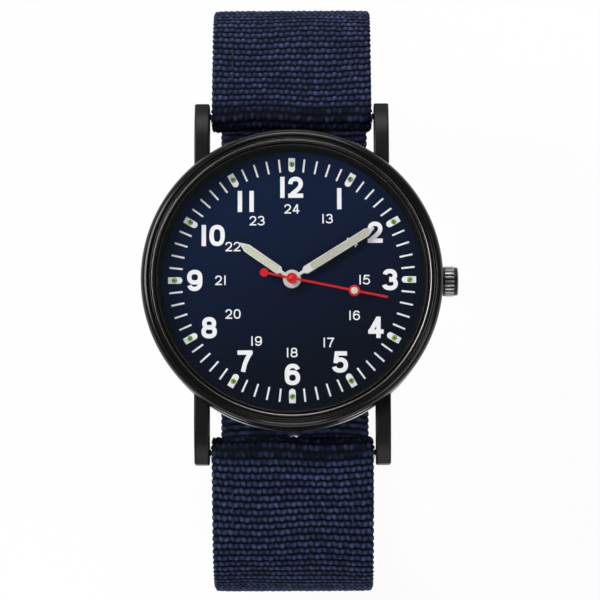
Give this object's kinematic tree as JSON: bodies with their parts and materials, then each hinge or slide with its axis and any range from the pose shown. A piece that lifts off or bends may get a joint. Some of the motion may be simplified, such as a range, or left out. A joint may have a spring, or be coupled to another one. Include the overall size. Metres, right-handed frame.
{
  "type": "field watch",
  "caption": "Field watch with a black round case, navy dial with twelve and twenty-four hour numbers, and a navy woven strap closed on its buckle.",
  "frame": {"origin": "centre of the outer face of the case back, on the dial's axis", "axes": "+Z out of the dial, +Y towards twelve o'clock, +X towards the crown"},
  "size_m": [0.0421, 0.0802, 0.0538],
  "materials": {
    "case_black": "satin black coating",
    "back_steel": "polished",
    "crystal_glass": "clear, polished",
    "gasket_rubber": "matte",
    "dial_navy": "fine satin paint",
    "marking_white": "printed",
    "dot_green": "lume paint",
    "hand_silver": "polished",
    "hand_lume": "lume paint",
    "second_red": "gloss red",
    "strap_navy": "woven nylon",
    "buckle_black": "satin black coating",
    "movement_brass": "brushed",
    "movement_steel": "brushed",
    "movement_plastic": "moulded",
    "board_green": "lacquered",
    "chip_black": "moulded",
    "winding_copper": "enamelled wire"
  },
  "bodies": {
    "watch_case": {"case_body": "case_black", "bezel": "case_black", "crystal": "crystal_glass", "crystal_gasket": "gasket_rubber", "inner_flange": "case_black", "case_back": "back_steel", "case_back_gasket": "gasket_rubber", "crown_tube": "back_steel", "dial": "dial_navy", "hour_markers": "marking_white", "marker_dots": "dot_green", "minute_track": "marking_white", "main_plate": "movement_brass", "train_bridge": "movement_steel", "movement_ring": "movement_plastic", "movement_screws": "movement_steel", "stator": "movement_steel", "coil_core": "movement_steel", "coil_winding": "winding_copper", "battery": "back_steel", "battery_clamp": "movement_steel", "circuit_board": "board_green", "quartz_can": "movement_steel", "driver_chip": "chip_black", "strap_upper": "strap_navy", "strap_lower": "strap_navy", "fixed_keeper": "strap_navy"},
    "hour_body": {"hour_wheel": "movement_brass", "hour_hand": "hand_silver", "hour_hand_lume": "hand_lume"},
    "minute_body": {"cannon_pinion": "movement_steel", "minute_hand": "hand_silver", "minute_hand_lume": "hand_lume"},
    "second_body": {"second_wheel": "movement_brass", "second_hand": "second_red", "second_hand_lume": "hand_lume"},
    "minute_wheel_body": {"minute_wheel": "movement_brass"},
    "third_wheel_body": {"third_wheel": "movement_brass"},
    "centre_wheel_body": {"centre_wheel": "movement_brass"},
    "intermediate_wheel_body": {"intermediate_wheel": "movement_brass"},
    "rotor_body": {"rotor": "movement_steel"},
    "setting_lever_body": {"setting_lever": "movement_steel"},
    "crown_body": {"crown": "case_black", "crown_gasket": "gasket_rubber", "stem": "movement_steel", "sliding_pinion": "movement_steel"},
    "buckle_body": {"buckle_frame": "buckle_black", "buckle_pin": "buckle_black"},
    "tongue_body": {"buckle_tongue": "buckle_black"},
    "sliding_keeper_body": {"sliding_keeper": "strap_navy"},
    "upper_bar_body": {"upper_bar_barrel": "movement_steel", "upper_bar_spring": "movement_steel"},
    "upper_right_tip_body": {"upper_bar_right_tip": "movement_steel"},
    "upper_left_tip_body": {"upper_bar_left_tip": "movement_steel"},
    "lower_bar_body": {"lower_bar_barrel": "movement_steel", "lower_bar_spring": "movement_steel"},
    "lower_right_tip_body": {"lower_bar_right_tip": "movement_steel"},
    "lower_left_tip_body": {"lower_bar_left_tip": "movement_steel"}
  },
  "joints": [
    {"name": "minute_hand_turn", "type": "hinge", "parent": "watch_case", "child": "minute_body", "pos_m": [0, 0, 0.003], "axis": [0, 0, -1], "continuous": true},
    {"name": "hour_hand_turn", "type": "hinge", "parent": "watch_case", "child": "hour_body", "pos_m": [0, 0, 0.003], "axis": [0, 0, -1], "continuous": true},
    {"name": "minute_wheel_turn", "type": "hinge", "parent": "watch_case", "child": "minute_wheel_body", "pos_m": [0.00346, -0.002, 0.003], "axis": [0, 0, -1], "continuous": true},
    {"name": "second_hand_turn", "type": "hinge", "parent": "watch_case", "child": "second_body", "pos_m": [0, 0, 0.003], "axis": [0, 0, -1], "continuous": true},
    {"name": "third_wheel_turn", "type": "hinge", "parent": "watch_case", "child": "third_wheel_body", "pos_m": [0.00216, 0.00374, 0.003], "axis": [0, 0, -1], "continuous": true},
    {"name": "centre_wheel_turn", "type": "hinge", "parent": "watch_case", "child": "centre_wheel_body", "pos_m": [0, 0, 0.003], "axis": [0, 0, -1], "continuous": true},
    {"name": "intermediate_wheel_turn", "type": "hinge", "parent": "watch_case", "child": "intermediate_wheel_body", "pos_m": [-0.00406, -0.00148, 0.003], "axis": [0, 0, -1], "continuous": true},
    {"name": "rotor_turn", "type": "hinge", "parent": "watch_case", "child": "rotor_body", "pos_m": [-0.00722, -0.00263, 0.003], "axis": [0, 0, -1], "continuous": true},
    {"name": "crown_pull", "type": "slide", "parent": "watch_case", "child": "setting_lever_body", "axis": [1, 0, 0], "range_m": [0, 0.0009]},
    {"name": "crown_turn", "type": "hinge", "parent": "setting_lever_body", "child": "crown_body", "pos_m": [0.021, 0, 0.00345], "axis": [1, 0, 0], "continuous": true},
    {"name": "upper_bar_turn", "type": "hinge", "parent": "watch_case", "child": "upper_bar_body", "pos_m": [0, 0.0227, 0.0024], "axis": [1, 0, 0], "continuous": true},
    {"name": "upper_right_tip_press", "type": "slide", "parent": "upper_bar_body", "child": "upper_right_tip_body", "axis": [-1, 0, 0], "range_m": [0, 0.0023], "stiffness_N_per_m": 600, "springref_m": -0.001, "deforming": ["upper_bar_spring"]},
    {"name": "upper_left_tip_press", "type": "slide", "parent": "upper_bar_body", "child": "upper_left_tip_body", "axis": [1, 0, 0], "range_m": [0, 0.0023], "stiffness_N_per_m": 600, "springref_m": -0.001, "deforming": ["upper_bar_spring"]},
    {"name": "lower_bar_turn", "type": "hinge", "parent": "watch_case", "child": "lower_bar_body", "pos_m": [0, -0.0227, 0.0024], "axis": [1, 0, 0], "continuous": true},
    {"name": "lower_right_tip_press", "type": "slide", "parent": "lower_bar_body", "child": "lower_right_tip_body", "axis": [-1, 0, 0], "range_m": [0, 0.0023], "stiffness_N_per_m": 600, "springref_m": -0.001, "deforming": ["lower_bar_spring"]},
    {"name": "lower_left_tip_press", "type": "slide", "parent": "lower_bar_body", "child": "lower_left_tip_body", "axis": [1, 0, 0], "range_m": [0, 0.0023], "stiffness_N_per_m": 600, "springref_m": -0.001, "deforming": ["lower_bar_spring"]},
    {"name": "buckle_frame_swing", "type": "hinge", "parent": "watch_case", "child": "buckle_body", "pos_m": [0, 0.003, -0.04045], "axis": [1, 0, 0], "range_deg": [0, 2]},
    {"name": "buckle_tongue_swing", "type": "hinge", "parent": "buckle_body", "child": "tongue_body", "pos_m": [0, 0.003, -0.04045], "axis": [1, 0, 0], "range_deg": [0, 6]},
    {"name": "sliding_keeper_slide", "type": "slide", "parent": "watch_case", "child": "sliding_keeper_body", "axis": [0, 1, 0], "range_m": [-0.0025, 0.0035]}
  ],
  "couplings": [
    {"joint": "hour_hand_turn", "follows": "minute_hand_turn", "ratio": 0.083333},
    {"joint": "minute_wheel_turn", "follows": "minute_hand_turn", "ratio": -0.33333},
    {"joint": "third_wheel_turn", "follows": "second_hand_turn", "ratio": -0.13333},
    {"joint": "centre_wheel_turn", "follows": "second_hand_turn", "ratio": 0.016667},
    {"joint": "intermediate_wheel_turn", "follows": "second_hand_turn", "ratio": -5},
    {"joint": "rotor_turn", "follows": "second_hand_turn", "ratio": 30}
  ]
}
